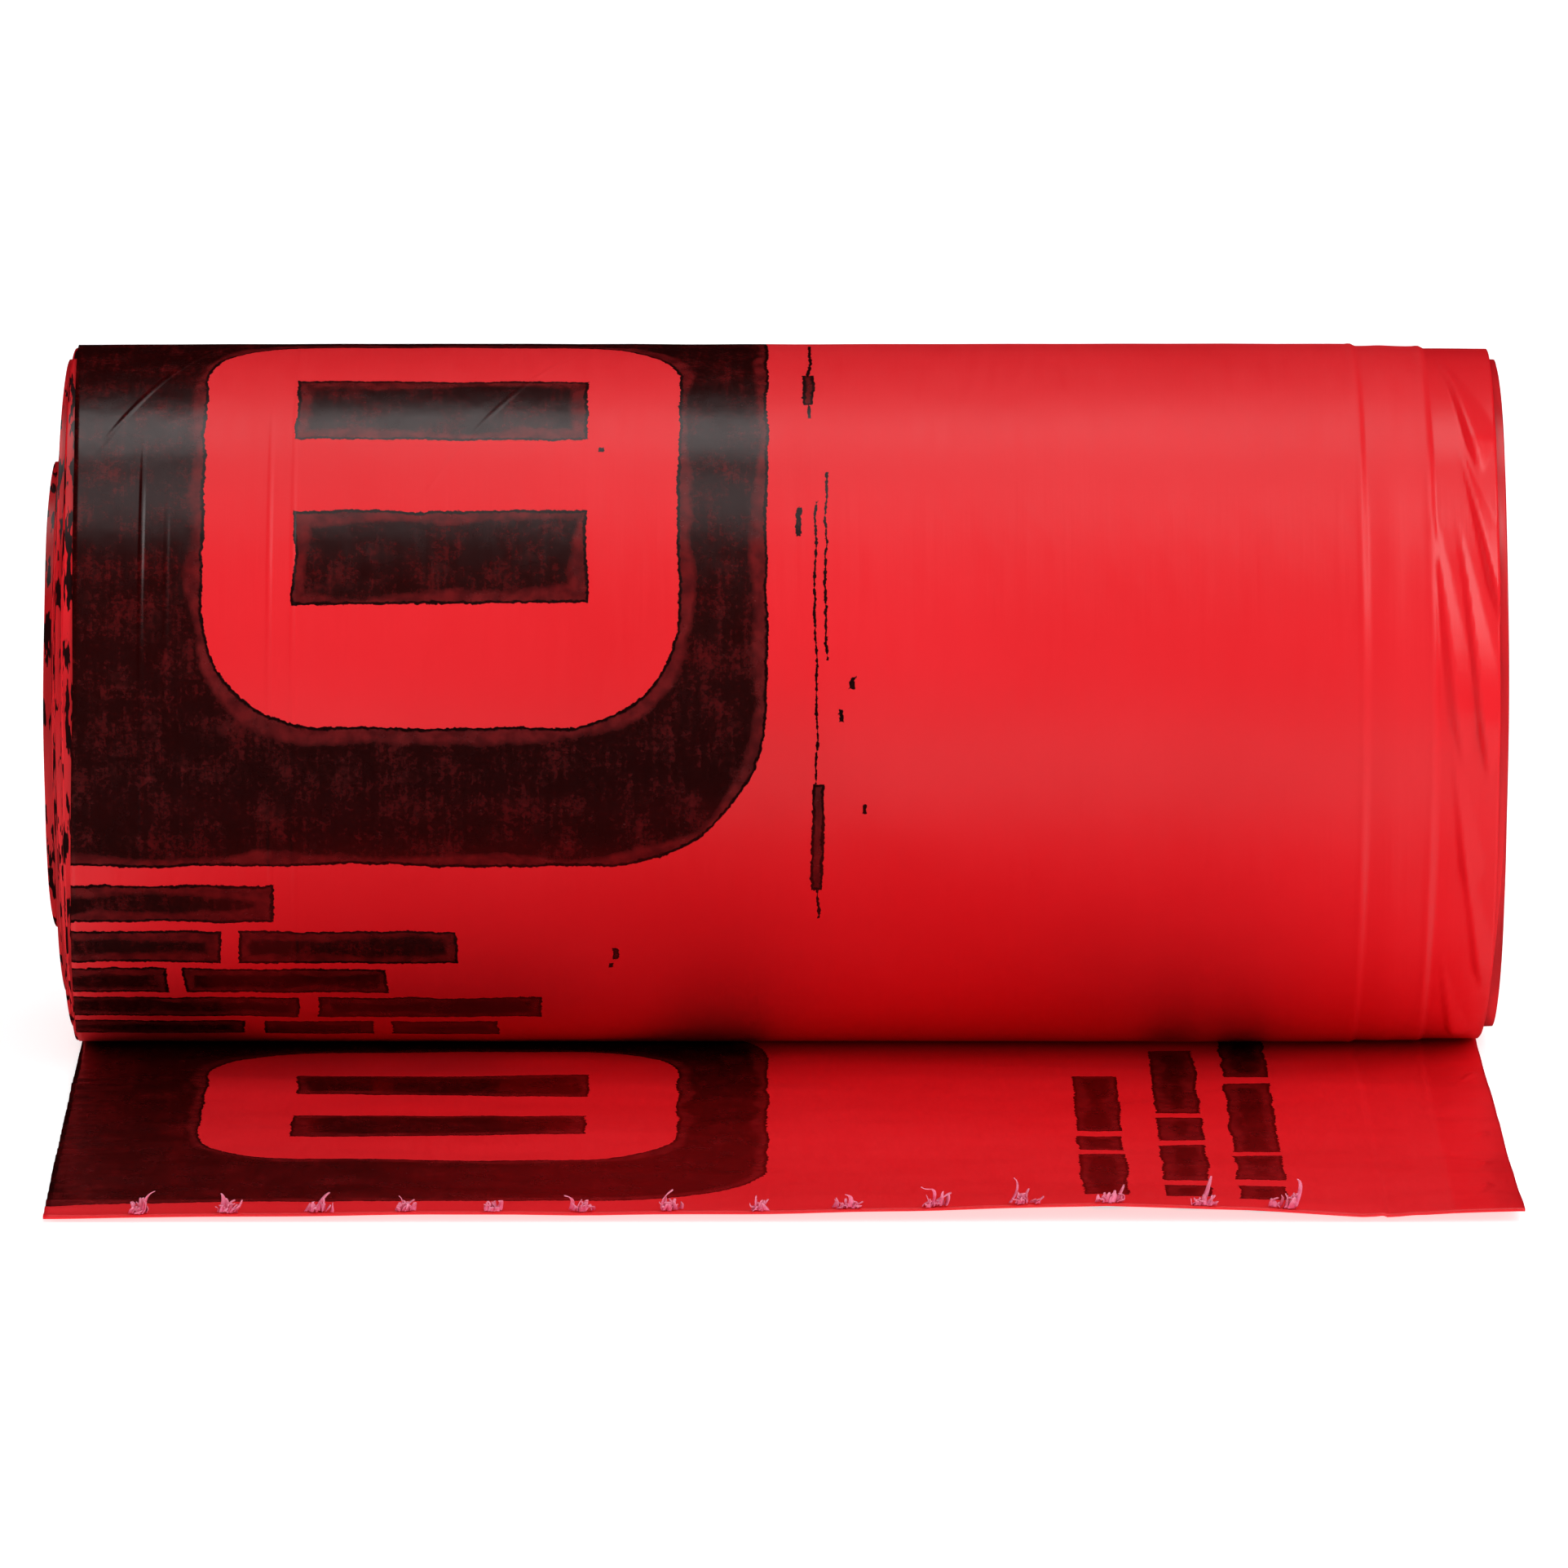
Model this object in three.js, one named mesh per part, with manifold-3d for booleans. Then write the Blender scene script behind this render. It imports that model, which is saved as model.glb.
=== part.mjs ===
// A roll of red film waste bags, lying on its side with the end of the first bag loose in front of it.
// The bags are one long folded web, perforated between one bag and the next, wound tight with no core.
// Millimetres. +X runs along the roll's axis, +Z is up, and the loose end lies towards -Y.
// The origin is on the floor, under the middle of the roll's axis.
import * as THREE from "three";
import { mergeVertices } from "three/addons/utils/BufferGeometryUtils.js";
import Module from "manifold-3d";

// Driving dimensions of the wound roll
const rollRadius = 63.5;
const boreRadius = 11;
const outerTurnWidth = 254; // the folded web as the outermost turn shows it
const innerTurnWidth = 257; // the same web deeper in, where the folds lie a little looser
const contactHalfWidth = 9; // half of the strip that the soft roll presses flat on the floor
const roundSegments = 64;

// The web has fewer layers near one end, so the roll steps down there at each inner fold.
const foldEdges = [
  { x: 103.8, drop: 0.35 },
  { x: 116, drop: 0.45 },
];

// Turns that slid sideways as they were wound: each band's outer radius, and how far it moved along X.
const turnBands = [
  { outerRadius: 60.5, slide: 0.3 },
  { outerRadius: 54, slide: -0.6 },
  { outerRadius: 47, slide: -1.3 },
  { outerRadius: 42, slide: -3.7 },
  { outerRadius: 28, slide: -3.0 },
];

// The loose end of the first bag
const looseEndLength = 160; // from under the roll's axis to the perforated edge
const looseEndThickness = 1.0; // the folded layers with the air between them

// Worked out from the values above
const axisHeight = Math.sqrt(rollRadius ** 2 - contactHalfWidth ** 2);
const halfOuterWidth = outerTurnWidth / 2;
const halfInnerWidth = innerTurnWidth / 2;

const red = new THREE.MeshStandardMaterial({ color: 0xd81f26, roughness: 0.32, metalness: 0 });

const wasm = await Module();
wasm.setup();

// A closed three.js geometry as a solid that can be joined and cut.
function toSolid(geometry) {
  const bare = new THREE.BufferGeometry();
  const flat = geometry.index ? geometry.toNonIndexed() : geometry;
  bare.setAttribute("position", flat.getAttribute("position"));
  const merged = mergeVertices(bare, 1e-4);
  return new wasm.Manifold(
    new wasm.Mesh({
      numProp: 3,
      vertProperties: merged.getAttribute("position").array,
      triVerts: new Uint32Array(merged.index.array),
    }),
  );
}

// A solid as a three.js geometry.
function toGeometry(solid) {
  const mesh = solid.getMesh();
  const geometry = new THREE.BufferGeometry();
  geometry.setAttribute("position", new THREE.BufferAttribute(mesh.vertProperties, 3));
  geometry.setIndex(new THREE.BufferAttribute(mesh.triVerts, 1));
  geometry.computeVertexNormals();
  return geometry;
}

// The roll's half section, from the bore outwards along the left end, along the outside and back along
// the right end. A point is (radius, place along the axis).
function rollSection() {
  const inward = [...turnBands].reverse();
  const leftEnd = [new THREE.Vector2(boreRadius, inward[0].slide - halfInnerWidth)];
  for (const [i, band] of inward.entries()) {
    const next = inward[i + 1];
    leftEnd.push(new THREE.Vector2(band.outerRadius, band.slide - halfInnerWidth));
    leftEnd.push(new THREE.Vector2(band.outerRadius, next ? next.slide - halfInnerWidth : -halfOuterWidth));
  }

  const outside = [new THREE.Vector2(rollRadius, -halfOuterWidth)];
  let radius = rollRadius;
  for (const edge of foldEdges) {
    outside.push(new THREE.Vector2(radius, edge.x));
    radius -= edge.drop;
    outside.push(new THREE.Vector2(radius, edge.x));
  }
  outside.push(new THREE.Vector2(radius, halfOuterWidth));

  const rightEnd = [];
  for (const [i, band] of turnBands.entries()) {
    const before = i ? turnBands[i - 1].slide + halfInnerWidth : halfOuterWidth;
    rightEnd.push(new THREE.Vector2(band.outerRadius, before));
    rightEnd.push(new THREE.Vector2(band.outerRadius, band.slide + halfInnerWidth));
  }
  rightEnd.push(new THREE.Vector2(boreRadius, turnBands.at(-1).slide + halfInnerWidth));

  const section = [...leftEnd, ...outside, ...rightEnd];
  return [...section, section[0].clone()];
}

// The wound bags: the section turned about the axis, lifted to its height over the floor.
function woundRoll() {
  const turned = new THREE.LatheGeometry(rollSection(), roundSegments);
  turned.rotateZ(-Math.PI / 2);
  turned.translate(0, 0, axisHeight);
  return toSolid(turned);
}

// What lies under the floor: the roll is soft, so it is flat where it presses on the floor.
function underFloor() {
  const depth = rollRadius;
  const slab = new THREE.BoxGeometry(2 * outerTurnWidth, 4 * rollRadius, depth);
  slab.translate(0, 0, -depth / 2);
  return toSolid(slab);
}

// The loose end: the same web, flat on the floor from the perforated edge to the strip under the roll.
function looseEnd() {
  const length = looseEndLength + contactHalfWidth;
  const strip = new THREE.BoxGeometry(outerTurnWidth, length, looseEndThickness);
  strip.translate(0, contactHalfWidth - length / 2, looseEndThickness / 2);
  return toSolid(strip);
}

const bagRoll = new THREE.Mesh(toGeometry(woundRoll().subtract(underFloor()).add(looseEnd())), red);
bagRoll.name = "bag_roll";

const part = new THREE.Group();
part.add(bagRoll);
export default part;
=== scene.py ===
# %% [markdown]
# # A roll of red waste bags, with the end of the first bag loose in front
#
# The bags are one long web: a tube of thin red film, folded flat to a quarter of its width, perforated
# between one bag and the next, and wound tight on a spindle that was pulled out afterwards. So there is
# no core, the roll is soft where it presses on the floor, and each turn shows on the ends as a fold edge.
#
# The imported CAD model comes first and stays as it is. It gives the place and size of everything here.

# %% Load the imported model
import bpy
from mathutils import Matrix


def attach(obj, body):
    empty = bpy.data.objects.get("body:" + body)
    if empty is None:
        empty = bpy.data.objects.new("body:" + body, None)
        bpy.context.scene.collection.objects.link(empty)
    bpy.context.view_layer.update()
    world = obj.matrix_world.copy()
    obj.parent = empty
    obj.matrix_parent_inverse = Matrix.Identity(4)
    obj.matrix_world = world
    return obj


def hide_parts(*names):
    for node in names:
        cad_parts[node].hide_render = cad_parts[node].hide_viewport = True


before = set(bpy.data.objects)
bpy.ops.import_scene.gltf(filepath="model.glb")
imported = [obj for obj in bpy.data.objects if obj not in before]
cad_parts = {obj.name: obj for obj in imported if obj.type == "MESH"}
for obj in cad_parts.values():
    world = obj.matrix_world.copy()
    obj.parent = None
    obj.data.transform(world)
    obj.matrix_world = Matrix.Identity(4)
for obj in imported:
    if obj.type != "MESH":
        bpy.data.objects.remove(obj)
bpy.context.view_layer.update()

# %% Tools and units
import math

import bpy
import numpy as np

MM = 0.001  # shapes are worked out in millimetres, as the CAD model is, and end in metres

# %% [markdown]
# ## The camera
#
# The picture was taken with a long lens from about 2.7 m away and ten degrees above the horizon, straight
# towards the middle of the roll. A long lens keeps the two ends almost parallel to the view, which is why
# neither end face shows. The camera looks at a point a little below the roll's axis.

# %% Set the camera
roll_radius = 63.5
contact_half_width = 9.0  # half of the strip that the soft roll presses flat on the floor
axis_height = math.sqrt(roll_radius**2 - contact_half_width**2)

view_angle = math.radians(10.57)
view_up = np.array([0.0, math.sin(view_angle), math.cos(view_angle)])
view_back = np.array([0.0, -math.cos(view_angle), math.sin(view_angle)])
view_distance = 2659.6
below_axis = 16.4
looked_at = np.array([0.9, 0.0, axis_height]) - below_axis * view_up
camera_data = bpy.data.cameras.new("camera")
camera_data.sensor_width = 36.0
camera_data.lens = 337.1
camera_data.clip_start = 0.1
camera_data.clip_end = 50.0
camera = bpy.data.objects.new("camera", camera_data)
camera.location = (looked_at + view_distance * view_back) * MM
camera.rotation_euler = (math.pi / 2 - view_angle, 0.0, 0.0)
bpy.context.scene.collection.objects.link(camera)
bpy.context.scene.camera = camera
print("camera at", [round(v, 3) for v in camera.location])

# %% [markdown]
# ## From arrays to a mesh
#
# Every piece is a grid of points: rows along one direction, columns along the other. The faces join each
# point with its neighbours, so a helper makes them from the grid's size alone. What belongs to the film
# and not to its place in space, such as where the print lies, goes along as a named attribute.

# %% A mesh from a grid of points
def grid_faces(rows, columns, flip=False):
    """Four-cornered faces of a grid whose points are numbered row by row: point (i, j) is i*columns + j."""
    index = np.arange(rows * columns).reshape(rows, columns)
    corners = [index[:-1, :-1], index[1:, :-1], index[1:, 1:], index[:-1, 1:]]
    return np.stack([c.ravel() for c in (corners[::-1] if flip else corners)], axis=1)


def make_piece(name, points_mm, faces, web_mm, sharp_above=None):
    """An object whose mesh has these points, in millimetres, and these four-cornered faces. web_mm keeps,
    for each point, its place on the film: across the web, along the web, and which turn it is."""
    mesh = bpy.data.meshes.new(name)
    mesh.vertices.add(len(points_mm))
    mesh.vertices.foreach_set("co", (points_mm * MM).astype(np.float32).ravel())
    mesh.loops.add(faces.size)
    mesh.loops.foreach_set("vertex_index", faces.astype(np.int32).ravel())
    mesh.polygons.add(len(faces))
    mesh.polygons.foreach_set("loop_start", np.arange(0, faces.size, 4, dtype=np.int32))
    mesh.polygons.foreach_set("use_smooth", np.ones(len(faces), dtype=bool))
    mesh.update(calc_edges=True)
    film_place = mesh.attributes.new("web_mm", "FLOAT_VECTOR", "POINT")
    film_place.data.foreach_set("vector", web_mm.astype(np.float32).ravel())
    if sharp_above is not None:
        mesh.set_sharp_from_angle(angle=math.radians(sharp_above))
    piece = bpy.data.objects.new(name, mesh)
    bpy.context.scene.collection.objects.link(piece)
    print(f"{name}: {len(points_mm)} points, {len(faces)} faces")
    return piece


# %% Soft steps, humps and swells
def smooth_step(value, low, high):
    """0 below low, 1 above high, and an S-curve 3t^2 - 2t^3 in between."""
    t = np.clip((value - low) / (high - low), 0.0, 1.0)
    return t * t * (3.0 - 2.0 * t)


def hump(value, middle, half_width):
    """1 at the middle, falling to nearly 0 at twice the half width, as exp(-(distance/half_width)^2)."""
    return np.exp(-(((value - middle) / half_width) ** 2))


def swell(across, along, seed, wavelength, waves=7):
    """A gentle uneven surface between about -1 and 1: the sum of a few sine waves whose directions and
    starts are drawn once from a seeded generator, and whose lengths lie round the one given."""
    draw = np.random.default_rng(seed)
    total = np.zeros(np.broadcast(across, along).shape)
    for _ in range(waves):
        direction = draw.uniform(0.0, math.pi)
        rate = 2.0 * math.pi / (wavelength * draw.uniform(0.7, 1.6))
        place = across * math.cos(direction) + along * math.sin(direction)
        total = total + np.sin(place * rate + draw.uniform(0.0, 2.0 * math.pi))
    return total / waves**0.5 / 1.4


# %% [markdown]
# ## The line that the web follows
#
# Seen along the roll's axis, the outermost turn is one line. It starts at the perforated edge, lies on the
# floor, goes under the roll, up the back, over the top and down the front, and ends tucked in between the
# loose end and the turns inside. A distance along this line, counted from the perforated edge, says where
# on the web a point is, so the shapes and the print below all use it.

# %% Work out the line
web_thickness = 0.45  # the folded layers of film with a little air
loose_length = 160.0  # from the perforated edge to the line under the roll's axis
turn_pitch = 0.5  # how much one turn adds to the radius


def web_line(step=0.5):
    """Points (y, z) a step apart: a straight run on the floor, then a circle about the roll's axis whose
    radius shrinks by one pitch in a full turn, then a short straight run on top of the first one. A moving
    average rounds the two corners, where soft film can't have a kink."""
    middle_radius = roll_radius - web_thickness / 2
    low_start = web_thickness / 2
    low_end = 2.1 * web_thickness
    start = -math.asin((axis_height - low_start) / middle_radius)
    inner_radius = middle_radius - turn_pitch
    end = math.pi + math.asin((axis_height - low_end) / inner_radius)
    angle = np.arange(start, end, step / middle_radius)
    radius = middle_radius - turn_pitch * (angle - start) / (end - start)
    turn_y = radius * np.cos(angle)
    turn_z = axis_height + radius * np.sin(angle)
    floor_y = np.arange(-loose_length, turn_y[0], step)
    tuck_y = np.arange(turn_y[-1] + step, contact_half_width, step)
    y = np.concatenate([floor_y, turn_y, tuck_y])
    z = np.concatenate([np.full_like(floor_y, low_start), turn_z, np.full_like(tuck_y, low_end)])
    window = np.hanning(13)
    window /= window.sum()
    reach = len(window) // 2
    for values in (y, z):
        before = values[0] - (values[1] - values[0]) * np.arange(reach, 0, -1)
        after = values[-1] + (values[-1] - values[-2]) * np.arange(1, reach + 1)
        values[:] = np.convolve(np.concatenate([before, values, after]), window, mode="valid")
    along = np.concatenate([[0.0], np.cumsum(np.hypot(np.diff(y), np.diff(z)))])
    return along, y, z


line_along, line_y, line_z = web_line()
web_length = line_along[-1]
top_along = line_along[np.argmax(line_z)]
print(f"the line is {web_length:.1f} mm long and passes over the top at {top_along:.1f} mm")
front_half = line_along > top_along
axis_level_along = np.interp(-axis_height, -line_z[front_half], line_along[front_half])
print(f"it is level with the axis, in front, at {axis_level_along:.1f} mm")


def on_line(along):
    """For each distance along the web: y, z and the outward direction (ny, nz), which is the line's own
    direction turned a quarter round, so that it points to the floor at first and away from the axis later."""
    y = np.interp(along, line_along, line_y)
    z = np.interp(along, line_along, line_z)
    step = 0.4
    ahead, behind = np.clip(along + step, 0, web_length), np.clip(along - step, 0, web_length)
    ty = np.interp(ahead, line_along, line_y) - np.interp(behind, line_along, line_y)
    tz = np.interp(ahead, line_along, line_z) - np.interp(behind, line_along, line_z)
    length = np.hypot(ty, tz)
    return y, z, tz / length, -ty / length


# %% [markdown]
# ## The outermost turn and the loose end
#
# This is one sheet of folded film, 254 mm wide, and its surface is a function of two distances: across the
# web and along it. It isn't flat across. Near the right edge two of the inner folds stop short, so the web
# is thinner there, lies a little lower, and wrinkles. The loose end has the slack of a film that was wound:
# its front edge lifts by a millimetre or two in places, and small ripples run in from the left edge.

# %% Where the sheet's edges run
half_width = 127.0


def edge_places(along):
    """The x of the left and of the right edge, for each distance along the web: straight stretches between
    the places where the picture shows them."""
    left_places = [0, 145, 240, 340, 400, 445, 500, 565]
    left_edge = [-126.0, -126.3, -127, -126.9, -125.4, -124.9, -126.2, -126.8]
    right_places = [0, 145, 240, 358, 445, 500, 540, 565]
    right_edge = [127.8, 126.4, 127.0, 127.9, 127.6, 127.4, 126.6, 126.0]
    left = np.interp(along, left_places, left_edge)
    right = np.interp(along, right_places, right_edge)
    return left, right


# %% Wrinkles where the web is thin
def crease(across, along, start, end, left_slope, right_slope, height):
    """A ridge with two flat sides, like a roof, along the line from start to end. Its height falls off
    evenly with the distance from the line, over one width on its left and another on its right. It starts
    as a point, widens evenly like a long triangle, and ends in its last fifth."""
    (x0, s0), (x1, s1) = start, end
    length = math.hypot(x1 - x0, s1 - s0)
    ux, us = (x1 - x0) / length, (s1 - s0) / length
    forward = (across - x0) * ux + (along - s0) * us
    sideways = (across - x0) * us - (along - s0) * ux
    share = np.clip(np.minimum(forward / length / 0.8, (length - forward) / length / 0.2), 0.0, 1.0)
    slope = np.where(sideways < 0, left_slope, right_slope) * np.maximum(share, 0.02)
    return height * np.clip(1 - np.abs(sideways) / slope, 0, 1) * share


seen_creases = [  # start, end, width on the left, width on the right, height
    ((117.6, 362), (124.8, 404), 0.9, 5.5, 1.5),
    ((120.2, 394), (128.0, 434), 0.8, 5.0, 1.6),
    ((115.2, 408), (121.2, 460), 1.6, 4.8, 1.2),
    ((120.0, 412), (125.6, 462), 0.8, 5.5, 1.6),
    ((118.4, 450), (122.6, 486), 0.8, 3.6, 0.7),
    ((120.6, 470), (125.8, 510), 0.9, 3.8, 0.8),
    ((117.6, 496), (121.9, 538), 0.8, 3.8, 0.8),
]
draw = np.random.default_rng(11)
back_creases = [
    (
        (116.5 + 4 * draw.random(), s),
        (121.5 + 5 * draw.random(), s + draw.uniform(18, 36)),
        1.2,
        draw.uniform(3.0, 5.0),
        draw.uniform(0.5, 1.1),
    )
    for s in np.arange(176.0, 316.0, 19.0)
]
loose_creases = [
    (
        (117.5 + 3 * draw.random(), s),
        (122.5 + 4 * draw.random(), s + draw.uniform(20, 34)),
        1.4,
        draw.uniform(2.5, 4.5),
        draw.uniform(0.5, 0.9),
    )
    for s in np.arange(4.0, 130.0, 24.0)
]


# %% How far the surface stands off the line
def web_height(across, along):
    """The sheet's height over the line that it follows: two soft steps down with a small lip at each, a low
    bulge between them, the wrinkles beyond them, and a very gentle unevenness everywhere."""
    first_fold = 103.8 + 0.25 * np.sin(along / 31.0)
    second_fold = 116.0 + 0.3 * np.sin(along / 23.0 + 1.0)
    height = -0.35 * smooth_step(across, first_fold - 0.15, first_fold + 0.45)
    height = height - 0.4 * smooth_step(across, second_fold - 0.15, second_fold + 0.5)
    height = height + 0.10 * hump(across, first_fold - 0.6, 0.5) + 0.10 * hump(across, second_fold - 0.6, 0.5)
    height = height + 0.16 * hump(across, 108.6, 2.6)
    for ridge in seen_creases + back_creases + loose_creases:
        height = height + crease(across, along, *ridge)
    height = height + 0.16 * swell(across / 2.6, along, 3, 55.0) + 0.04 * swell(across, along, 4, 17.0)
    return height


def floor_lift(across, along):
    """How far the loose end is off the floor: waves along its front edge that die out 30 mm further in,
    low swells in its middle, and ripples that run in from its left edge."""
    front = np.interp(across, [-127, -60, -5, 30, 56, 80, 100, 127], [0.1, 0.7, 0.9, 1.6, 2.3, 1.5, 0.5, 1.6])
    loose = 1 - smooth_step(along, 118.0, 150.0)
    lift = front * (1 - smooth_step(along, 0.0, 30.0))
    lift = lift + 0.35 * (1 + swell(across, along * 1.6, 8, 60.0)) * smooth_step(along, 0.0, 20.0)
    ripple_height = 0.34 * (0.6 + 0.4 * np.sin(along / 7.3)) * np.exp(-(across + half_width) / 6.0)
    ripples = ripple_height * np.sin(2 * math.pi * along / 6.2 + 2.4 * np.sin(along / 11.0))
    lines = 0.10 * swell(across * 0.35, along, 9, 9.0)
    return np.clip(lift + ripples + lines, 0.0, None) * loose


def on_web(across, along):
    """Points of the web's middle surface, across from -127 to 127 and along from the perforated edge: the
    place on the line, plus the height along the line's outward direction, plus the lift off the floor. The
    first result is the points, the second what the film carries with it."""
    left, right = edge_places(along)
    x = left + (across + half_width) / (2 * half_width) * (right - left)
    y, z, out_y, out_z = on_line(along)
    on_roll = smooth_step(along, 162.0, 185.0)
    height = web_height(x, along)
    lying = np.clip(height + 0.35, 0.0, None) * (1 - on_roll)
    rise = floor_lift(x, along) + 0.8 * lying * (1 - smooth_step(along, 130.0, 160.0))
    tucked = 1 - smooth_step(along, web_length - 26.0, web_length - 12.0)
    off = height * on_roll * tucked
    points = np.stack([x, y + off * out_y, z + off * out_z + rise], axis=-1)
    film = np.stack([x, along * np.ones_like(x), np.zeros_like(x)], axis=-1)
    return points, film


# %% Make the sheet
across_columns = np.concatenate([
    np.linspace(-127, -109, 19)[:-1],
    np.linspace(-109, 99, 44)[:-1],
    np.linspace(99, 127, 58),
])
along_rows = np.concatenate([
    np.linspace(0, 150, 141)[:-1],
    np.linspace(150, 345, 66)[:-1],
    np.linspace(345, 545, 176)[:-1],
    np.linspace(545, web_length, 13),
])
across_grid, along_grid = np.meshgrid(across_columns, along_rows)
sheet_points, sheet_film = on_web(across_grid, along_grid)
outer_web = make_piece(
    "outer_web",
    sheet_points.reshape(-1, 3),
    grid_faces(len(along_rows), len(across_columns), flip=True),
    sheet_film.reshape(-1, 3),
)
thickness = outer_web.modifiers.new("folded layers", "SOLIDIFY")
thickness.thickness = web_thickness * MM
thickness.offset = 0.0
print("sheet from x", sheet_points[..., 0].min().round(1), "to", sheet_points[..., 0].max().round(1), "mm")

# %% [markdown]
# ## The ends of the roll
#
# On each end the turns show as about a hundred rounded fold edges, one just outside the other. They are one
# spiral, not rings, so the surface is one long ribbon, a pitch wide, that winds outwards: its outer border
# is the next turn's inner border. Turns slide sideways as a web is wound, so bands of them stand out or lie
# deep, and each turn is a little off its neighbours.

# %% How far each turn reaches
bore_radius = 11.0
turn_steps = 144  # points in one turn
turn_counts = {  # on the right the outermost turn lies deeper, beyond the inner folds
    -1: int((roll_radius - web_thickness - 0.4 - bore_radius) / turn_pitch),
    1: int((roll_radius - web_thickness - 1.3 - bore_radius) / turn_pitch),
}
band_edges = [28.0, 42.0, 47.0, 54.0, 60.3]  # the radius at which each band gives way to the next
band_reaches = {  # how far each band is from the middle of the roll, from the hole outwards
    -1: [130.2, 131.0, 129.4, 128.7, 128.1, 127.1],
    1: [125.8, 125.0, 127.2, 128.0, 129.2, 127.0],
}
groove_depth = 0.32  # from a fold edge's crest down to the groove beside it


def turn_reach(turn, side):
    """How far a turn's fold edge is from the middle of the roll, for each place along the spiral, counted
    in turns. The bands are joined over a fifth of a turn, and two slow waves and a fast one are added."""
    radius = bore_radius + turn_pitch * turn
    reaches = band_reaches[side]
    reach = np.full_like(turn, reaches[0])
    for edge, before, after in zip(band_edges, reaches[:-1], reaches[1:]):
        blend = 0.5 * turn_pitch * 0.2
        reach = reach + (after - before) * smooth_step(radius, edge - blend, edge + blend)
    seed = 21 if side < 0 else 22
    draw = np.random.default_rng(seed)
    count = turn_counts[side] + 3
    own = np.interp(turn, np.arange(count), draw.normal(0.0, 0.13, count))
    slow = 0.22 * np.sin(2 * math.pi * (turn + 0.02 * turn**1.1) + 0.4 * side) * smooth_step(turn, 8, 40)
    return reach + own + slow + 0.05 * np.sin(2 * math.pi * turn * 7.0 + np.sin(turn))


# %% Press the turns flat on the floor
def press_flat(points):
    """The roll is soft: what would be lower than the floor is pushed up to it, and a turn that is deeper
    inside stays higher, by its depth."""
    y, z = points[..., 1], points[..., 2]
    radius = np.hypot(y, z - axis_height)
    lowest = 2.7 * web_thickness + 0.5 * (roll_radius - radius)
    points[..., 2] = np.maximum(z, lowest)
    return points


# %% Make the two ends
def roll_end(name, side):
    """One end as a spiral ribbon. Along it the angle grows; across it there are five points: the groove
    next to the turn inside, the two shoulders and the crest of this turn, and the groove outside it. After
    the last turn, two more rows run inwards under the outermost turn. The distance along the web at each
    angle is the spiral's own length, 2 pi (bore radius * turns + pitch * turns^2 / 2)."""
    turn_count = turn_counts[side]
    place = np.arange(turn_count * turn_steps + 1) / turn_steps
    angle = 2 * math.pi * place
    shares = np.array([0.0, 0.24, 0.52, 0.80, 1.0])
    radius = bore_radius + turn_pitch * (place[:, None] + shares)
    before, reach, after = (turn_reach(np.clip(place + shift, 0, None), side) for shift in (-1, 0, 1))
    grooves = np.minimum(reach, before) - groove_depth, np.minimum(reach, after) - groove_depth
    x = side * np.stack([grooves[0], reach - 0.07, reach, reach - 0.07, grooves[1]], axis=1)
    y = radius * np.cos(angle)[:, None]
    z = axis_height + radius * np.sin(angle)[:, None]
    points = np.stack([x, y, z], axis=-1)
    along = 2 * math.pi * (bore_radius * place + turn_pitch * place**2 / 2)
    film = np.stack([x, np.broadcast_to(along[:, None], x.shape), place[:, None] + shares], axis=-1)
    ribbon = grid_faces(len(place), len(shares))

    rim_turn = np.arange(turn_steps + 1)
    rim_angle = 2 * math.pi * rim_turn / turn_steps
    rim_radius = radius[-(turn_steps + 1):, 4]
    rim_y = rim_radius * np.cos(rim_angle)
    rim_z = axis_height + rim_radius * np.sin(rim_angle)
    rim_rows, rim_film = [], []
    for inward in (0.0, 9.0):
        row_x = x[-(turn_steps + 1):, 4] - side * inward
        rim_rows.append(np.stack([row_x, rim_y, rim_z], axis=-1))
        last_turn = np.full_like(row_x, turn_count + 1.0)
        rim_film.append(np.stack([row_x, rim_radius * rim_angle, last_turn], axis=-1))
    rim = grid_faces(2, turn_steps + 1, flip=True) + points.shape[0] * points.shape[1]
    faces = np.concatenate([ribbon, rim])
    if side > 0:
        faces = faces[:, ::-1]
    all_points = press_flat(np.concatenate([points.reshape(-1, 3), *rim_rows]))
    all_film = np.concatenate([film.reshape(-1, 3), *rim_film])
    return make_piece(name, all_points, faces, all_film, sharp_above=50)


left_end = roll_end("left_turns", -1)
right_end = roll_end("right_turns", 1)

# %% [markdown]
# ## The hollow centre
#
# The spindle leaves a hole that the first turn lines. Its film starts with a loose inner edge, a step of
# one thickness, so the hole's radius grows by one pitch in one turn and then steps back.

# %% Make the lining of the hole
def bore_lining():
    """A tube whose radius grows by one pitch in a full turn, with shallow lengthwise creases from the
    spindle, between the two ends' first turns."""
    angle = np.linspace(0.0, 2 * math.pi, 97)
    along_axis = np.linspace(-1.0, 1.0, 30)
    angle_grid, axis_grid = np.meshgrid(angle, along_axis)
    turn = angle_grid / (2 * math.pi)
    uneven = 0.12 * swell(axis_grid * 40, angle_grid * 11, 31, 9.0) * (1 - np.abs(axis_grid) ** 6)
    radius = bore_radius + turn_pitch * turn + uneven
    left = -(turn_reach(turn[0], -1) - groove_depth)
    right = turn_reach(turn[0], 1) - groove_depth
    x = left + (axis_grid + 1) / 2 * (right - left)
    points = np.stack([x, radius * np.cos(angle_grid), axis_height + radius * np.sin(angle_grid)], axis=-1)
    film = np.stack([x, angle_grid * bore_radius, turn], axis=-1)
    faces = grid_faces(*angle_grid.shape)
    return make_piece("bore_lining", points.reshape(-1, 3), faces, film.reshape(-1, 3))


lining = bore_lining()

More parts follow.
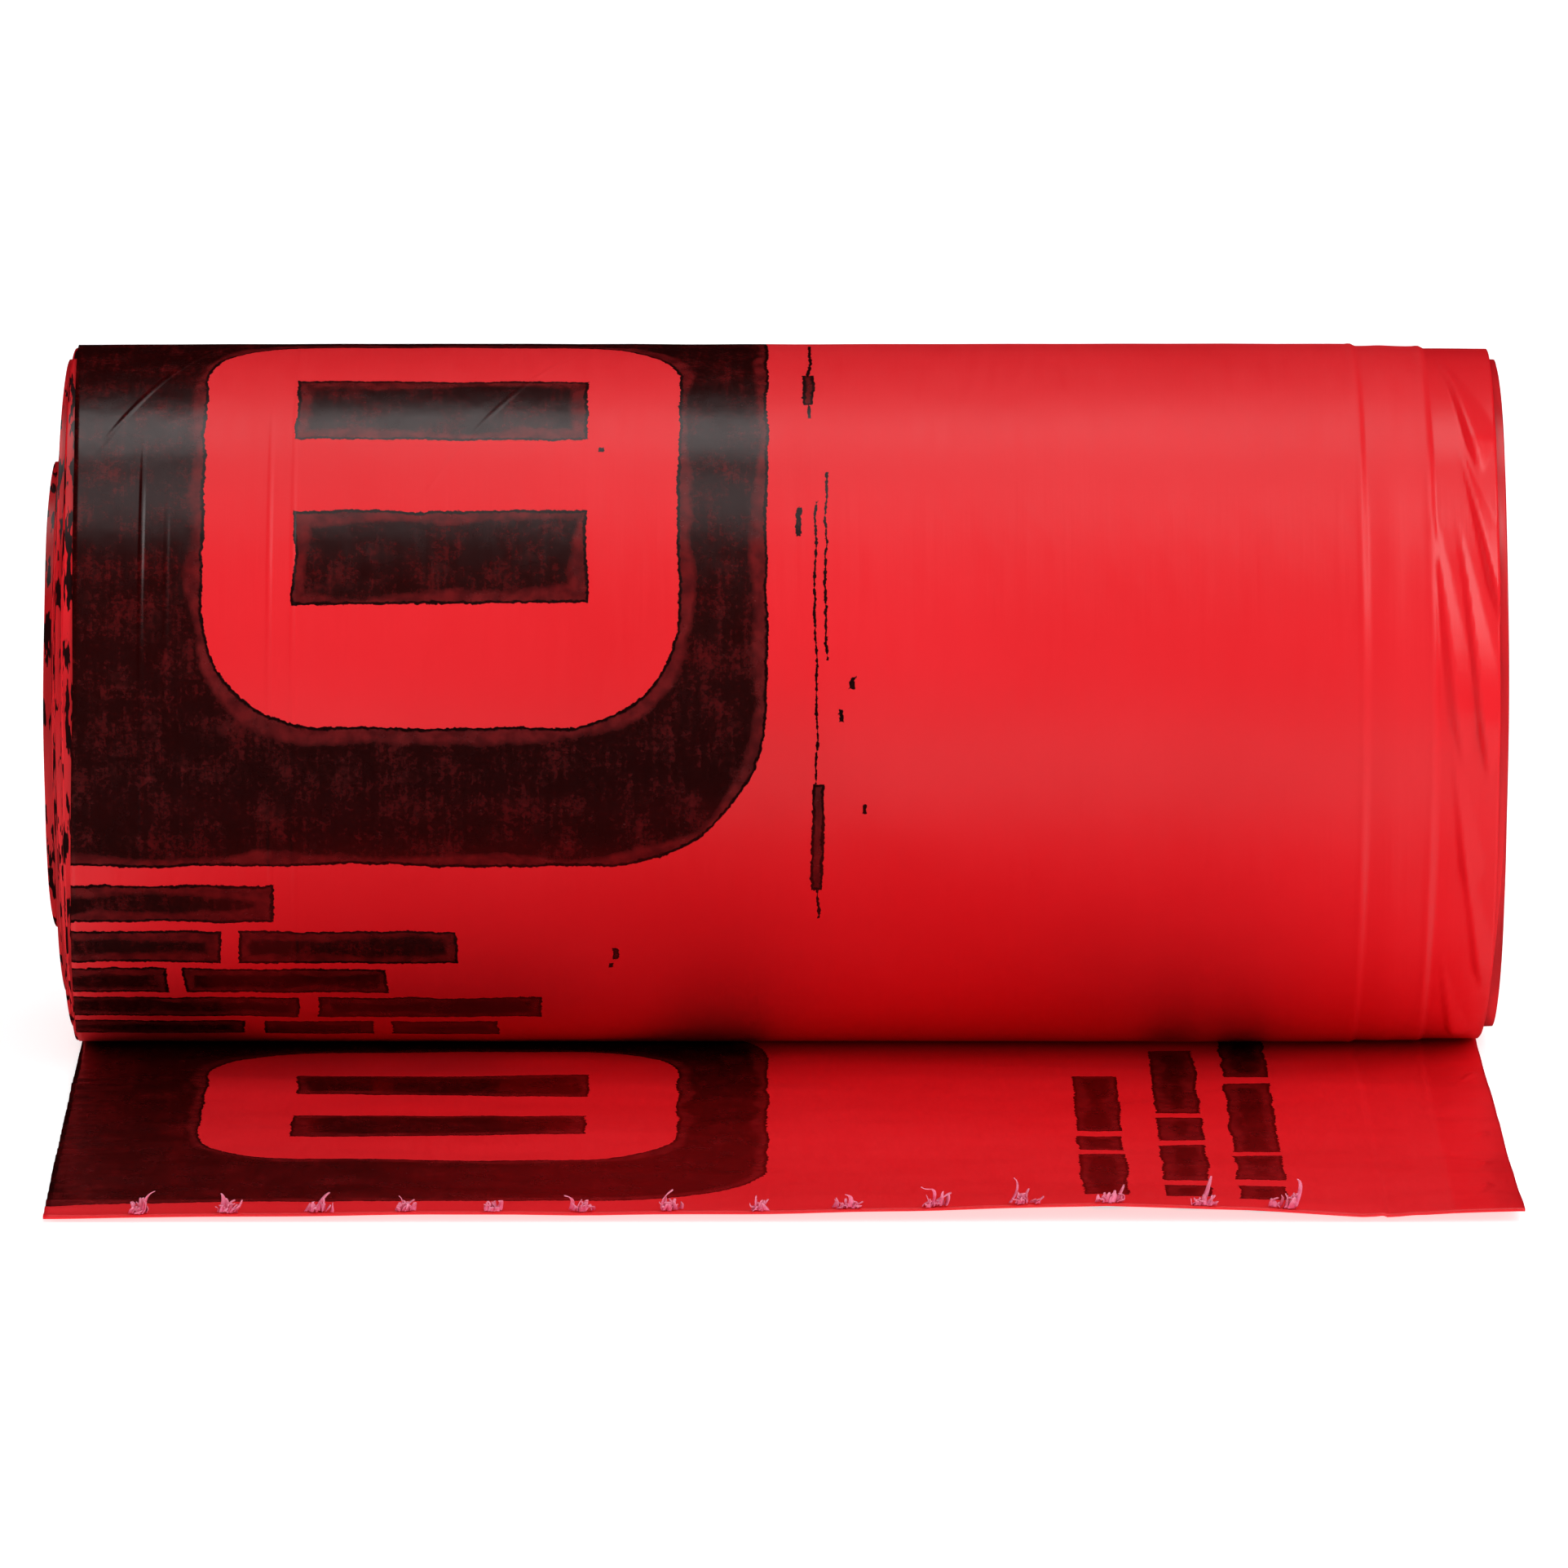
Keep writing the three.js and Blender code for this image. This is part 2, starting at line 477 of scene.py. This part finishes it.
# %% [markdown]
# ## Torn film at the perforation
#
# The bags tear apart along a row of small cuts, and the bridges between them stretch and turn pale before
# they break. Each leaves a tuft of thin curled strips at the edge, about 15 mm from the next.

# %% Make the tufts
tuft_count = 14
tuft_spacing = 15.1
first_tuft = -110.3  # the place across the web of the tuft furthest to the left
strips_in_tuft = 16


def curled_strips():
    """Strips carried along curls: each starts on the front edge, rises and bends over, and gets narrower
    towards its end. The curl's direction turns evenly with the distance along it, so its points are running
    sums of the direction's cosine and sine. All strips are worked out at once."""
    draw = np.random.default_rng(5)
    tuft_x = first_tuft + tuft_spacing * np.arange(tuft_count)
    tuft = np.repeat(np.arange(tuft_count), strips_in_tuft)
    count = len(tuft)
    size = np.repeat(draw.uniform(0.8, 1.15, tuft_count), strips_in_tuft)
    start_x = tuft_x[tuft] + draw.normal(0.0, 1.0, count)
    start_along = draw.uniform(0.0, 1.6, count)
    length = size * draw.uniform(1.2, 2.6, count)
    length[::strips_in_tuft] *= 2.1
    width = draw.uniform(0.6, 1.3, count)
    heading = draw.normal(0.5, 0.9, count)
    first_tilt = draw.uniform(0.7, 1.5, count)
    bend = draw.normal(1.4, 1.1, count)
    steps = 9
    t = np.linspace(0, 1, steps)
    tilt = first_tilt[:, None] + bend[:, None] * t
    turn = heading[:, None] + draw.normal(0.0, 0.8, count)[:, None] * t
    piece_length = length[:, None] / (steps - 1)
    forward = np.cumsum(np.cos(tilt) * piece_length, axis=1)
    rise = np.cumsum(np.abs(np.sin(tilt)) * piece_length, axis=1)
    base, _ = on_web(np.clip(start_x, -127, 127), start_along)
    middle_x = base[:, 0, None] + forward * np.sin(turn) + 0.25 * rise
    middle_y = base[:, 1, None] + forward * np.cos(turn)
    middle_z = base[:, 2, None] + 0.15 + rise
    middle = np.stack([middle_x, middle_y, middle_z], axis=-1)
    side = np.stack([np.cos(turn), -np.sin(turn), 0.25 * np.sin(3 * t + turn)], axis=-1)
    half = (width[:, None] / 2 * (1 - 0.65 * t**2))[..., None]
    crest = middle + 0.12 * half * np.array([0, 0, 1.0])
    grid = np.stack([middle - half * side, crest, middle + half * side], axis=2)
    film = np.broadcast_to(np.stack([t * 10, t, np.zeros_like(t)], axis=-1)[None, :, None, :], grid.shape)
    one = grid_faces(steps, 3)
    faces = (one[None] + (np.arange(count) * steps * 3)[:, None, None]).reshape(-1, 4)
    return make_piece("torn_tufts", grid.reshape(-1, 3), faces, film.reshape(-1, 3))


tufts = curled_strips()
tuft_thickness = tufts.modifiers.new("film", "SOLIDIFY")
tuft_thickness.thickness = 0.12 * MM
tuft_thickness.offset = 0.0

# %% [markdown]
# ## Red film and black ink
#
# The film is clear red polyethylene, many layers deep, so its colour is strong and a little uneven, and its
# surface is glossy but not sharp. The ink is a black-brown that lets some red through: a thin dark outline
# where it gathered, a redder band inside that, and a mottled dark middle with red flecks and rub marks.
#
# A print is a matter of distance: a function gives how far each point of the web is outside a printed
# shape, or inside it as a negative number. Shapes are joined by the smaller of two distances and cut by the
# larger, and the distance alone then picks outline, band or middle. The shapes are plain ones: a frame, bars
# and rows of blocks.

# %% Small helpers for material nodes
def put(tree, socket, value):
    """Gives a node's input a number, a list of numbers or another node's output."""
    if isinstance(value, bpy.types.NodeSocket):
        tree.links.new(value, socket)
    elif value is not None:
        socket.default_value = value


def number(tree, operation, *values):
    """One sum on numbers, such as ADD, MINIMUM or SMOOTH_MAX."""
    node = tree.nodes.new("ShaderNodeMath")
    node.operation = operation
    for socket, value in zip(node.inputs, values):
        put(tree, socket, value)
    return node.outputs[0]


def vector(tree, operation, *values, result="Vector"):
    """One sum on vectors, such as DISTANCE or MULTIPLY."""
    node = tree.nodes.new("ShaderNodeVectorMath")
    node.operation = operation
    for socket, value in zip(node.inputs, values):
        put(tree, socket, value)
    return node.outputs[result]


def fade(tree, value, low, high):
    """0 below low and 1 above high, on an S-curve, or the other way round when high is the smaller."""
    node = tree.nodes.new("ShaderNodeMapRange")
    node.interpolation_type = "SMOOTHSTEP"
    put(tree, node.inputs["Value"], value)
    if low < high:
        limits = (low, high, 0.0, 1.0)
    else:
        limits = (high, low, 1.0, 0.0)
    for socket, limit in zip(("From Min", "From Max", "To Min", "To Max"), limits):
        node.inputs[socket].default_value = limit
    return node.outputs[0]


def grain(tree, place, scale, detail=2.0, rough=0.5):
    """Blender's noise, about 0.5 on average, whose lumps are about 1/scale of the place's unit."""
    node = tree.nodes.new("ShaderNodeTexNoise")
    put(tree, node.inputs["Vector"], place)
    node.inputs["Scale"].default_value = scale
    node.inputs["Detail"].default_value = detail
    node.inputs["Roughness"].default_value = rough
    return node.outputs[0]


def colour_mix(tree, share, first, second):
    """The first colour where share is 0, the second where it is 1."""
    node = tree.nodes.new("ShaderNodeMix")
    node.data_type = "RGBA"
    put(tree, node.inputs[0], share)
    put(tree, node.inputs[6], first if isinstance(first, bpy.types.NodeSocket) else (*first, 1.0))
    put(tree, node.inputs[7], second if isinstance(second, bpy.types.NodeSocket) else (*second, 1.0))
    return node.outputs[2]


# %% Distances to plain printed shapes, in millimetres
def block_shape(tree, web, centre, half):
    """A rectangle: how far the point is beyond its sides, across or along, whichever is more."""
    apart = vector(tree, "ABSOLUTE", vector(tree, "SUBTRACT", web, (*centre, 0.0)))
    beyond = tree.nodes.new("ShaderNodeSeparateXYZ")
    put(tree, beyond.inputs[0], vector(tree, "SUBTRACT", apart, (*half, 0.0)))
    return number(tree, "MAXIMUM", beyond.outputs[0], beyond.outputs[1])


def rounded_shape(tree, web, centre, half, corner):
    """A rectangle with round corners: past the straight part of its sides by (x, y), the distance is the
    length of what is positive of (x, y), plus the larger of the two where both are negative, less the
    corner's radius."""
    apart = vector(tree, "ABSOLUTE", vector(tree, "SUBTRACT", web, (*centre, 0.0)))
    beyond = vector(tree, "SUBTRACT", apart, (half[0] - corner, half[1] - corner, 0.0))
    outside = vector(tree, "LENGTH", vector(tree, "MAXIMUM", beyond, (0.0, 0.0, 0.0)), result="Value")
    sides = tree.nodes.new("ShaderNodeSeparateXYZ")
    put(tree, sides.inputs[0], beyond)
    inside = number(tree, "MINIMUM", number(tree, "MAXIMUM", sides.outputs[0], sides.outputs[1]), 0.0)
    return number(tree, "SUBTRACT", number(tree, "ADD", outside, inside), corner)


def join(tree, *shapes):
    """The nearest of several shapes."""
    nearest = shapes[0]
    for shape in shapes[1:]:
        nearest = number(tree, "MINIMUM", nearest, shape)
    return nearest


def without(tree, shape, hole):
    """A shape with another one cut out of it."""
    return number(tree, "MAXIMUM", shape, number(tree, "MULTIPLY", hole, -1.0))


# %% Where the print is: x across the web, then the distance along it
front_blocks = [  # left, right, nearest and furthest along the web
    (-131, -89.8, 482.0, 490.2),
    (-131, -99.6, 492.4, 500.6), (-96.4, -57.4, 492.4, 500.6),
    (-131, -109.2, 502.2, 509.6), (-106.4, -70.0, 502.2, 509.6),
    (-131, -86.0, 511.4, 519.2), (-82.6, -42.5, 511.4, 519.2),
    (-131, -96.0, 521.4, 529.4), (-92.6, -73.0, 521.4, 529.4), (-69.8, -50.6, 521.4, 529.4),
]
print_repeat = 313.0  # the print comes again after this much of the web
back_blocks = [(a, b, c - print_repeat, d - print_repeat) for a, b, c, d in front_blocks]
loose_blocks = [
    (52.4, 60.4, 10, 49), (52.4, 60.4, 54, 66), (52.4, 60.4, 70, 116),
    (66.6, 74.6, 10, 22), (66.6, 74.6, 26, 58), (66.6, 74.6, 62, 80), (66.6, 74.6, 84, 141),
    (79.4, 87.6, 8, 22), (79.4, 87.6, 27, 48), (79.4, 87.6, 52, 110), (79.4, 87.6, 115, 152),
]
streaks = [
    (5.1, 5.7, 356, 390), (4.4, 6.4, 375, 386), (3.0, 4.0, 411, 417),
    (6.3, 6.7, 410, 462), (8.1, 8.5, 404, 440), (5.9, 8.1, 462, 483), (6.9, 7.4, 480, 489),
    (12.6, 13.6, 443, 445), (10.7, 11.4, 449, 451), (14.7, 15.3, 466, 467.6),
    (-29.6, -28.4, 497, 500), (-30.2, -29.4, 501, 502), (-32, -31, 398, 399.2),
]


def blocks_of(tree, web, table):
    """All rectangles of a table, as a list of distances."""
    made = []
    for left, right, near, far in table:
        centre = ((left + right) / 2, (near + far) / 2)
        half = ((right - left) / 2, (far - near) / 2)
        made.append(block_shape(tree, web, centre, half))
    return made


def frame_shape(tree, web, shift):
    """A plain frame with round corners that runs off the left fold, and two wide bars inside it."""
    frame_outside = rounded_shape(tree, web, (-82.0, 400.0 + shift), (80.0, 78.0), 30.0)
    frame_inside = rounded_shape(tree, web, (-60.0, 405.0 + shift), (42.0, 47.0), 20.0)
    bars = [(-86.0, -34.0, 378.0 + shift, 396.0 + shift), (-86.0, -34.0, 412.0 + shift, 430.0 + shift)]
    return join(tree, without(tree, frame_outside, frame_inside), *blocks_of(tree, web, bars))


def front_print(tree, web):
    """On the front of the roll: the frame, with rows of blocks below it and thin streaks beside it."""
    return join(tree, frame_shape(tree, web, 0.0), *blocks_of(tree, web, front_blocks + streaks))


def loose_print(tree, web):
    """On the left of the loose end: the same frame, one repeat of the print further on."""
    return frame_shape(tree, web, -print_repeat)


def block_print(table):
    """A print of blocks alone."""
    def blocks(tree, web):
        return join(tree, *blocks_of(tree, web, table))
    return blocks


# %% The two distances on the web as single numbers
def across_of(tree, web):
    """The distance across the web: what is left of (x, y, z) times (1, 0, 0)."""
    return vector(tree, "DOT_PRODUCT", web, (1.0, 0.0, 0.0), result="Value")


def along_of(tree, web):
    """The distance along the web: what is left of (x, y, z) times (0, 1, 0)."""
    return vector(tree, "DOT_PRODUCT", web, (0.0, 1.0, 0.0), result="Value")


# %% Mix the film
deep_red = (0.79, 0.008, 0.014)
bright_red = (0.85, 0.013, 0.021)
ink_outline = (0.009, 0.0007, 0.0008)
ink_middle = (0.018, 0.0007, 0.0007)
ink_fleck = (0.11, 0.003, 0.004)
ink_band_dark = (0.07, 0.002, 0.003)
ink_band_light = (0.15, 0.005, 0.006)


def start_material(name):
    """An empty node material with its shader and output, and the film's own place on the web."""
    material = bpy.data.materials.new(name)
    material.use_nodes = True
    tree = material.node_tree
    tree.nodes.clear()
    shader = tree.nodes.new("ShaderNodeBsdfPrincipled")
    output = tree.nodes.new("ShaderNodeOutputMaterial")
    tree.links.new(shader.outputs[0], output.inputs["Surface"])
    film_place = tree.nodes.new("ShaderNodeAttribute")
    film_place.attribute_name = "web_mm"
    return material, tree, shader, film_place.outputs["Vector"]


def red_film(name, printed=None):
    """Glossy red film, with a print if one is given: the distance to it gives the ink, and the film's gloss
    lies over both."""
    material, tree, shader, web = start_material(name)
    flat = vector(tree, "MULTIPLY", web, (1.0, 1.0, 0.0))
    cloudy = grain(tree, flat, 0.018, 3.0)
    film = colour_mix(tree, fade(tree, cloudy, 0.2, 0.8), deep_red, bright_red)
    rubbed = grain(tree, vector(tree, "MULTIPLY", flat, (1.0, 0.12, 1.0)), 0.5, 4.0, 0.6)
    rubbed = number(tree, "MULTIPLY_ADD", rubbed, 0.16, 0.33)
    thin_zone = fade(tree, across_of(tree, flat), 115.6, 116.6)  # the wrinkled strip has an even gloss
    rubbed = number(tree, "MULTIPLY_ADD", thin_zone, number(tree, "SUBTRACT", 0.29, rubbed), rubbed)
    shader.inputs["IOR"].default_value = 1.5
    put(tree, shader.inputs["Normal"], film_bumps(tree, flat))
    if printed is None:
        put(tree, shader.inputs["Base Color"], film)
        put(tree, shader.inputs["Roughness"], rubbed)
        return material

    uneven = tree.nodes.new("ShaderNodeTexNoise")
    put(tree, uneven.inputs["Vector"], flat)
    uneven.inputs["Scale"].default_value = 0.09
    uneven.inputs["Detail"].default_value = 2.0
    bent = vector(tree, "MULTIPLY_ADD", uneven.outputs["Color"], (2.0, 2.0, 0.0), flat)
    bent = vector(tree, "SUBTRACT", bent, (1.0, 1.0, 0.0))
    ragged = number(tree, "SUBTRACT", grain(tree, flat, 0.9, 3.0, 0.6), 0.5)
    ragged = number(tree, "MULTIPLY", ragged, 1.1)
    distance = number(tree, "ADD", printed(tree, bent), ragged)

    ink = fade(tree, distance, 0.06, -0.06)
    past_outline = fade(tree, distance, -0.35, -0.75)
    band_width = number(tree, "MULTIPLY_ADD", grain(tree, flat, 0.05, 3.0), 7.0, -1.6)
    past_band = fade(tree, number(tree, "ADD", distance, band_width), 0.4, -1.0)

    streaky = vector(tree, "MULTIPLY", flat, (1.0, 0.12, 1.0))
    mottle = number(tree, "MULTIPLY", grain(tree, flat, 1.1, 4.0, 0.7), 0.6)
    mottle = number(tree, "MULTIPLY_ADD", grain(tree, streaky, 0.8, 3.0, 0.6), 0.35, mottle)
    mottle = number(tree, "MULTIPLY_ADD", grain(tree, flat, 0.14, 3.0, 0.6), 0.55, mottle)
    mottle = number(tree, "ADD", mottle, 0.06)
    flecks = fade(tree, mottle, 0.76, 1.10)
    middle = colour_mix(tree, flecks, ink_middle, ink_fleck)
    band_share = fade(tree, grain(tree, flat, 0.35, 3.0), 0.3, 0.7)
    band = colour_mix(tree, band_share, ink_band_dark, ink_band_light)
    inked = colour_mix(tree, past_band, band, middle)
    inked = colour_mix(tree, past_outline, ink_outline, inked)
    put(tree, shader.inputs["Base Color"], colour_mix(tree, ink, film, inked))

    inked_roughness = number(tree, "MULTIPLY_ADD", grain(tree, flat, 0.16, 4.0, 0.6), 0.16, 0.18)
    roughness = tree.nodes.new("ShaderNodeMix")
    put(tree, roughness.inputs[0], ink)
    put(tree, roughness.inputs[2], rubbed)
    put(tree, roughness.inputs[3], inked_roughness)
    put(tree, shader.inputs["Roughness"], roughness.outputs[0])
    return material


# %% Fine marks in the film's surface
pressed_lines = [  # place across the web, from and to along it, height
    (-90.3, 392, 484, 0.09),
    (-86.1, 350, 500, 0.06),
    (-113.0, 400, 470, 0.12),
    (-108.5, 412, 455, 0.06),
]
slanting_creases = [  # start, end, height
    ((-122.0, 400.0), (-97.0, 353.0), 0.12),
    ((-65.6, 413.0), (-35.0, 362.0), 0.05),
]


def film_bumps(tree, flat):
    """The surface's slope from a height: lines that the winding pressed in along the web, straight creases
    and a fine orange-peel."""
    along_lines = grain(tree, vector(tree, "MULTIPLY", flat, (1.0, 0.035, 1.0)), 0.45, 4.0, 0.55)
    peel = grain(tree, flat, 0.35, 2.0)
    dents = grain(tree, vector(tree, "MULTIPLY", flat, (1.0, 0.6, 1.0)), 0.06, 3.0, 0.55)
    height = number(tree, "MULTIPLY", along_lines, 0.06)
    height = number(tree, "MULTIPLY_ADD", peel, 0.02, height)
    height = number(tree, "MULTIPLY_ADD", dents, 0.35, height)
    for x, near, far, tall in pressed_lines:
        off = number(tree, "ABSOLUTE", number(tree, "SUBTRACT", across_of(tree, flat), x))
        line = fade(tree, off, 0.7, 0.0)
        place = along_of(tree, flat)
        begun = fade(tree, place, near - 8.0, near + 8.0)
        unfinished = fade(tree, place, far + 8.0, far - 8.0)
        window = number(tree, "MULTIPLY", begun, unfinished)
        height = number(tree, "MULTIPLY_ADD", number(tree, "MULTIPLY", line, window), tall, height)
    for (x0, s0), (x1, s1), tall in slanting_creases:
        length = math.hypot(x1 - x0, s1 - s0)
        ux, us = (x1 - x0) / length, (s1 - s0) / length
        local = vector(tree, "SUBTRACT", flat, ((x0 + x1) / 2, (s0 + s1) / 2, 0.0))
        off = number(tree, "ABSOLUTE", vector(tree, "DOT_PRODUCT", local, (us, -ux, 0.0), result="Value"))
        forward = number(tree, "ABSOLUTE", vector(tree, "DOT_PRODUCT", local, (ux, us, 0.0), result="Value"))
        within = fade(tree, forward, length / 2, length / 2 - 12.0)
        line = number(tree, "MULTIPLY", fade(tree, off, 0.8, 0.0), within)
        height = number(tree, "MULTIPLY_ADD", line, tall, height)
    bump = tree.nodes.new("ShaderNodeBump")
    bump.inputs["Strength"].default_value = 1.0
    bump.inputs["Distance"].default_value = MM
    put(tree, bump.inputs["Height"], height)
    return bump.outputs[0]


# %% [markdown]
# On the ends, light gets in between the turns and comes back redder and darker. Where the printed side of
# the web was folded, the fold carries short black marks, on the left end only. Each turn has eight layers
# of film, too fine to model, so fine rings in the bump stand for them.

# %% Mix the film of the ends
shaded_red = (0.42, 0.003, 0.007)
mark_black = (0.014, 0.0015, 0.002)
layers_in_turn = 8


def edge_film(name, inked):
    """Folded film edges: red that varies from turn to turn, fine layers as rings along the spiral, and on
    an inked end dashes where noise, drawn out along the web, is high."""
    material, tree, shader, web = start_material(name)
    turn = vector(tree, "DOT_PRODUCT", web, (0.0, 0.0, 1.0), result="Value")
    by_turn = vector(tree, "MULTIPLY", web, (0.0, 0.02, 1.3))
    film = colour_mix(tree, fade(tree, grain(tree, by_turn, 1.0, 3.0), 0.3, 0.7), shaded_red, bright_red)
    if inked:
        dashes = grain(tree, vector(tree, "MULTIPLY", web, (0.9, 0.13, 0.9)), 1.0, 3.0, 0.55)
        marks = fade(tree, dashes, 0.53, 0.55)
        film = colour_mix(tree, marks, film, mark_black)
    put(tree, shader.inputs["Base Color"], film)
    shader.inputs["Roughness"].default_value = 0.28
    shader.inputs["IOR"].default_value = 1.5
    layers = number(tree, "SINE", number(tree, "MULTIPLY", turn, 2 * math.pi * layers_in_turn))
    uneven = grain(tree, vector(tree, "MULTIPLY", web, (1.0, 0.25, 8.0)), 0.7, 3.0)
    height = number(tree, "MULTIPLY_ADD", layers, 0.006, number(tree, "MULTIPLY", uneven, 0.06))
    bump = tree.nodes.new("ShaderNodeBump")
    bump.inputs["Strength"].default_value = 0.8
    bump.inputs["Distance"].default_value = MM
    put(tree, bump.inputs["Height"], height)
    put(tree, shader.inputs["Normal"], bump.outputs[0])
    return material


# %% Mix the stretched film of the tufts
def torn_film():
    """Film that was drawn out until it turned pale and matt: pink, and whiter towards the tips."""
    material, tree, shader, web = start_material("torn film")
    tip = fade(tree, along_of(tree, web), 0.0, 1.0)
    place = tree.nodes.new("ShaderNodeTexCoord").outputs["Object"]
    patchy = fade(tree, grain(tree, place, 900.0, 3.0), 0.35, 0.65)
    film = colour_mix(tree, patchy, (0.74, 0.05, 0.13), (0.86, 0.16, 0.30))
    film = colour_mix(tree, number(tree, "MULTIPLY", tip, 0.5), film, (0.90, 0.36, 0.48))
    put(tree, shader.inputs["Base Color"], film)
    shader.inputs["Roughness"].default_value = 0.55
    return material


# %% Dress the sheet, region by region
# A face takes the film with the print that lies there, so most of the sheet needs no print at all.
regions = [  # film, then left, right, nearest and furthest along the web
    (red_film("printed film, front", front_print), (-140, 20, 310, 540)),
    (red_film("printed film, loose end", loose_print), (-140, 20, -1, 167)),
    (red_film("printed film, columns", block_print(loose_blocks)), (45, 95, -1, 166)),
    (red_film("printed film, back", block_print(back_blocks)), (-140, -35, 167, 222)),
]
outer_web.data.materials.append(red_film("plain film"))
middles = 0.25 * (sheet_film[:-1, :-1] + sheet_film[1:, :-1] + sheet_film[1:, 1:] + sheet_film[:-1, 1:])
face_film = np.zeros(middles.shape[:2], dtype=np.int32)
middle_x, middle_along = middles[..., 0], middles[..., 1]
for slot_number, (film, (left, right, near, far)) in enumerate(regions, start=1):
    outer_web.data.materials.append(film)
    inside = (middle_x > left) & (middle_x < right) & (middle_along > near) & (middle_along < far)
    face_film[inside] = slot_number
outer_web.data.polygons.foreach_set("material_index", face_film.ravel())
print("faces of each film:", np.bincount(face_film.ravel()))

# %% Dress the other pieces and hang all of them on the frame
left_end.data.materials.append(edge_film("inked fold edges", True))
right_end.data.materials.append(edge_film("plain fold edges", False))
lining.data.materials.append(edge_film("film in the hole", False))
tufts.data.materials.append(torn_film())
for piece in (outer_web, left_end, right_end, lining, tufts):
    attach(piece, "root")
    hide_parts("bag_roll")

# %% [markdown]
# ## Floor and light
#
# The floor is plain and pale. Two long soft lamps overhead draw the bright band across the upper half of the
# roll, and one high on the right catches the wrinkles. A low wide light from the front and soft ones at the
# sides and the back only brighten the film: they don't show in its gloss.

# %% Lay the floor
floor_mesh = bpy.data.meshes.new("floor")
floor_half, floor_height = 20, -0.0004  # in metres, and just low enough not to cut into the film
corner_signs = ((-1, -1), (1, -1), (1, 1), (-1, 1))
floor_corners = [(x * floor_half, y * floor_half, floor_height) for x, y in corner_signs]
floor_mesh.from_pydata(floor_corners, [], [(0, 1, 2, 3)])
floor = bpy.data.objects.new("floor", floor_mesh)
bpy.context.scene.collection.objects.link(floor)
pale, pale_tree, pale_shader, _ = start_material("pale floor")
pale_shader.inputs["Base Color"].default_value = (0.92, 0.92, 0.92, 1.0)
pale_shader.inputs["Roughness"].default_value = 0.9
pale_shader.inputs["Specular IOR Level"].default_value = 0.0
pale_shader.inputs["Emission Color"].default_value = (1.0, 1.0, 1.0, 1.0)
pale_shader.inputs["Emission Strength"].default_value = 0.62
floor_mesh.materials.append(pale)
floor.visible_glossy = False  # the studio's table wasn't bright enough to show in the film


# %% Hang the lights
def soft_light(name, place, target, size, power):
    """A rectangular lamp of that width and depth in metres, at a place and turned to a target."""
    lamp = bpy.data.lights.new(name, "AREA")
    lamp.shape = "RECTANGLE"
    lamp.size, lamp.size_y = size
    lamp.energy = power
    holder = bpy.data.objects.new(name, lamp)
    holder.location = place
    towards = np.array(target, float) - np.array(place, float)
    yaw = math.atan2(-towards[0], towards[1])
    pitch = math.atan2(math.hypot(towards[0], towards[1]), -towards[2])
    holder.rotation_euler = (pitch, 0.0, yaw)
    bpy.context.scene.collection.objects.link(holder)
    return holder


soft_light("overhead, in front", (0.0, -0.45, 1.7), (0.0, -0.45, 0.0), (1.1, 0.60), 2.0)
soft_light("overhead, behind", (0.0, 0.40, 1.7), (0.0, 0.40, 0.0), (1.1, 0.66), 4.1)
soft_light("high on the right", (1.0, -0.8, 1.5), (0.0, 0.0, 0.06), (0.9, 1.5), 13.2)
left_fill = soft_light("left", (-2.4, 0.1, 0.9), (0.0, 0.0, 0.06), (1.4, 1.2), 16.0)
right_fill = soft_light("right", (2.4, 0.4, 0.9), (0.0, 0.0, 0.06), (1.4, 1.2), 11.0)
back_fill = soft_light("back", (0.0, 2.6, 2.3), (0.0, 0.0, 0.05), (3.0, 1.6), 18.0)
for fill in (left_fill, right_fill, back_fill):
    fill.visible_glossy = False
sky_lamp = bpy.data.lights.new("sky", "SUN")
sky_lamp.energy = 1.1
sky_lamp.angle = 0.8
sky = bpy.data.objects.new("sky", sky_lamp)
sky.rotation_euler = (math.radians(62), 0.0, 0.0)
sky.visible_glossy = False
bpy.context.scene.collection.objects.link(sky)
world = bpy.data.worlds.new("room")
bpy.context.scene.world = world
world.use_nodes = True
world.node_tree.nodes["Background"].inputs["Color"].default_value = (1.0, 1.0, 1.0, 1.0)
world.node_tree.nodes["Background"].inputs["Strength"].default_value = 0.04
world.cycles_visibility.glossy = False
bpy.context.scene.view_settings.view_transform = "Standard"
